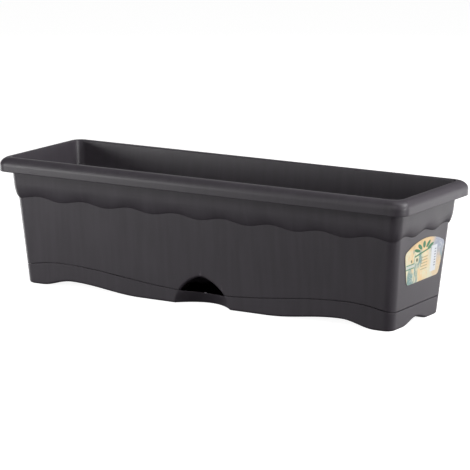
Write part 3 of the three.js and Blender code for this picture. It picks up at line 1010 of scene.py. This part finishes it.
def label_print():
    """Pastel marbled label: a fan of leaves over a swoosh, lines, panels and a striped strip."""
    low, high = box_mm("end_label")
    middle = (low + high)[1:] / 2 * MM
    label = Print("label_print", middle, (high - low)[1:] * MM)
    marbling = label.noise(48, 5, (1, 1, 0.7), 0.62)
    drift = label.noise(34, 4, (1, 1.5, 0.6), 0.6)
    speckle = label.noise(420, 3)
    ground = label.mix(label.span(marbling, 0.38, 0.58), (*PEACH, 1), (*CREAM, 1))
    label.colour = label.mix(label.span(drift, 0.5, 0.6), ground, (*TEAL, 1))
    right = label.span(label.across, 0.05, 0.6)
    upper = label.span(label.up, -0.5, 0.5, 0.2, 1.0)
    label.lay(LAVENDER, label.math("MULTIPLY", right, upper))
    label.lay((0.76, 0.73, 0.67), label.span(speckle, 0.54, 0.68, 0, 0.55))
    glow = label.oval((-0.25, 0.86), (0.7, 0.34), 0, 0.5)
    label.lay((0.76, 0.5, 0.22), label.math("MULTIPLY", glow, 0.8))

    label.lay(GREEN, label.bar((-0.1, 0.36), (0.42, 0.035), 14))
    for at, degrees in SPRIG:
        label.lay(GREEN, label.oval(at, LEAF, degrees))
    for at, size in DROPS:
        label.lay((0.12, 0.13, 0.05), label.oval(at, size, 8, 0.4))
    for row in range(TEXT_LINES):
        label.lay((0.36, 0.3, 0.16), label.bar((0.0, 0.1 - 0.14 * row), (0.17, 0.02), 0))
    label.lay((0.55, 0.58, 0.56), label.bar((-0.7, -0.14), (0.21, 0.05)))
    for height in (-0.05, -0.24):
        label.lay((0.03, 0.24, 0.17), label.bar((-0.7, height), (0.21, 0.026)))
    label.lay((0.66, 0.68, 0.72), label.bar((0.5, -0.12), (0.14, 0.62)))
    stripes = label.node("ShaderNodeTexWave", wave_type="BANDS", bands_direction="Z")
    label.link(label.place, stripes.inputs["Vector"])
    stripes.inputs["Scale"].default_value = STRIPES_PER_METRE
    ink = label.span(stripes.outputs[1], 0.4, 0.6, 0, 0.8)
    label.lay((0.12, 0.13, 0.2), label.math("MULTIPLY", label.bar((0.56, -0.12), (0.04, 0.46)), ink))

    label.link(label.colour, label.shader.inputs["Base Color"])
    label.link(label.span(speckle, 0.3, 0.7, 0.3, 0.42), label.shader.inputs["Roughness"])
    label.bump((marbling, 0.05, 0.0003))
    return label.material


def paint(piece, material):
    piece.data.materials.clear()
    piece.data.materials.append(material)


# ------------------------------------------------------------------ camera, floor and lights

CAMERA_AZIMUTH = 30.229
CAMERA_ELEVATION = 11.410
CAMERA_ROLL = 0.459
CAMERA_DISTANCE = 3.6233
CAMERA_LENS = 213.7
CAMERA_SENSOR = 36
CAMERA_AIM = Vector((-0.0013, 0.0176, 0.0788))

FLOOR_SPAN = 60
FLOOR_GREY = 0.5
FLOOR_GLOW = 0.93

# Even light from all round: its strength at and below a low direction, and at and above a high one.
AMBIENT_FROM = (-0.25, 0.35)
AMBIENT_BELOW = 0.02
AMBIENT_ABOVE = 0.09

# Softboxes: place, the point it looks at, size, power in watts.
SOFTBOXES = {
    "right_low": ((1.7, -0.2, 0.12), (0.3, 0, 0.08), (0.9, 0.5), 3),
    "right_middle": ((1.8, -0.1, 0.42), (0, 0, 0.12), (0.8, 0.4), 12.5),
    "right_high": ((1.0, 0.4, 1.1), (0.3, 0, 0.15), (0.7, 0.7), 13),
    "right_rear": ((1.0, 1.15, 0.12), (0.3, 0, 0.08), (0.9, 0.5), 3),
    "right_table": ((1.1, 0.7, -0.4), (0.3, 0, 0.1), (0.9, 0.5), 1.2),
    "front_left": ((-1.1, -1.1, 0.22), (-0.28, -0.1, 0.1), (0.6, 0.4), 10),
    "front_high": ((-0.1, -2.0, 1.5), (0, 0, 0.08), (1.6, 0.8), 11),
    "front_table": ((-0.5, -1.5, -0.5), (0, 0, 0.1), (1.6, 0.6), 1),
    "overhead": ((0, 0.2, 2.2), (0, 0, 0), (1.2, 0.8), 4),
    "back_left": ((-1.4, 1.9, 0.9), (0, 0, 0.08), (1.4, 0.9), 3),
    "back_table": ((0.0, 1.7, -0.25), (0, 0, 0.1), (1.6, 0.4), 9),
    "left_table": ((-1.6, 0.3, -0.2), (-0.3, 0, 0.1), (0.8, 0.4), 5),
}


def add_camera():
    azimuth, elevation = math.radians(CAMERA_AZIMUTH), math.radians(CAMERA_ELEVATION)
    back = Vector((
        math.sin(azimuth) * math.cos(elevation),
        -math.cos(azimuth) * math.cos(elevation),
        math.sin(elevation),
    ))
    data = bpy.data.cameras.new("photo_camera")
    data.lens = CAMERA_LENS
    data.sensor_width = CAMERA_SENSOR
    camera = bpy.data.objects.new("photo_camera", data)
    camera.location = CAMERA_AIM + back * CAMERA_DISTANCE
    level = (-back).to_track_quat("-Z", "Y")
    camera.rotation_mode = "QUATERNION"
    roll = Matrix.Rotation(math.radians(CAMERA_ROLL), 3, "Z").to_quaternion()
    camera.rotation_quaternion = level @ roll
    bpy.context.scene.collection.objects.link(camera)
    bpy.context.scene.camera = camera


def add_softbox(name, at, aim, size, power):
    """A large soft light that looks at a point."""
    data = bpy.data.lights.new(name, "AREA")
    data.shape = "RECTANGLE"
    data.size, data.size_y = size
    data.energy = power
    lamp = bpy.data.objects.new(name, data)
    lamp.location = at
    lamp.rotation_euler = (Vector(aim) - Vector(at)).to_track_quat("-Z", "Y").to_euler()
    lamp.visible_camera = False
    bpy.context.scene.collection.objects.link(lamp)


def add_floor():
    """A pale, faintly glowing floor. It throws no light up, and the lights below shine through."""
    bpy.ops.mesh.primitive_plane_add(size=FLOOR_SPAN)
    floor = bpy.context.object
    floor.name = "studio_floor"
    material = bpy.data.materials.new("studio_floor")
    material.use_nodes = True
    shader = material.node_tree.nodes["Principled BSDF"]
    shader.inputs["Base Color"].default_value = (FLOOR_GREY, FLOOR_GREY, FLOOR_GREY, 1)
    shader.inputs["Roughness"].default_value = 1
    shader.inputs["Specular IOR Level"].default_value = 0
    shader.inputs["Emission Color"].default_value = (1, 1, 1, 1)
    shader.inputs["Emission Strength"].default_value = FLOOR_GLOW
    paint(floor, material)
    floor.visible_diffuse = False
    floor.visible_glossy = False
    floor.visible_shadow = False


def add_world():
    """White behind the object, and a dim even light from all round."""
    world = bpy.data.worlds.new("studio")
    world.use_nodes = True
    tree = world.node_tree
    backdrop = tree.nodes["Background"]
    backdrop.inputs["Color"].default_value = (1, 1, 1, 1)
    ambient = tree.nodes.new("ShaderNodeBackground")
    direction = tree.nodes.new("ShaderNodeTexCoord")
    parts = tree.nodes.new("ShaderNodeSeparateXYZ")
    tree.links.new(direction.outputs["Generated"], parts.inputs[0])
    shade_by_height = tree.nodes.new("ShaderNodeMapRange")
    tree.links.new(parts.outputs["Z"], shade_by_height.inputs["Value"])
    shade_by_height.inputs["From Min"].default_value = AMBIENT_FROM[0]
    shade_by_height.inputs["From Max"].default_value = AMBIENT_FROM[1]
    shade_by_height.inputs["To Min"].default_value = AMBIENT_BELOW
    shade_by_height.inputs["To Max"].default_value = AMBIENT_ABOVE
    tree.links.new(shade_by_height.outputs[0], ambient.inputs["Strength"])
    blend = tree.nodes.new("ShaderNodeMixShader")
    path = tree.nodes.new("ShaderNodeLightPath")
    tree.links.new(path.outputs["Is Camera Ray"], blend.inputs[0])
    tree.links.new(ambient.outputs[0], blend.inputs[1])
    tree.links.new(backdrop.outputs[0], blend.inputs[2])
    tree.links.new(blend.outputs[0], tree.nodes["World Output"].inputs["Surface"])
    bpy.context.scene.world = world
    bpy.context.scene.view_settings.view_transform = "Standard"


def add_lights():
    for name, (at, aim, size, power) in SOFTBOXES.items():
        add_softbox(name, at, aim, size, power)


# ------------------------------------------------------------------ assembly

add_camera()
add_floor()
add_world()
add_lights()

box_resin = resin("box_resin", (0.054, 0.0475, 0.0565), (0.063, 0.0555, 0.066), 0.44)
tray_resin = resin("tray_resin", (0.053, 0.0465, 0.0555), (0.062, 0.0545, 0.065), 0.44)
cup_resin = resin("cup_resin", (0.030, 0.030, 0.032), (0.040, 0.040, 0.042), 0.5)
felt_cloth = felt()

planter_box = make_planter_box()
planter_box.name = "planter_box_shell"
paint(planter_box, box_resin)
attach(planter_box, "box")
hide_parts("planter_box")

tray = make_reservoir_tray()
paint(tray, tray_resin)
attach(tray, "tray")
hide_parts("reservoir_tray")

for number in range(1, CUP_COUNT + 1):
    cup = make_cup(number)
    paint(cup, cup_resin)
    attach(cup, f"wick_{number}")
    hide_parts(f"wick_cup_{number}")

    wick = make_wick(number)
    paint(wick, felt_cloth)
    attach(wick, f"wick_{number}")
    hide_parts(f"felt_wick_{number}")

paint(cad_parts["end_label"], label_print())
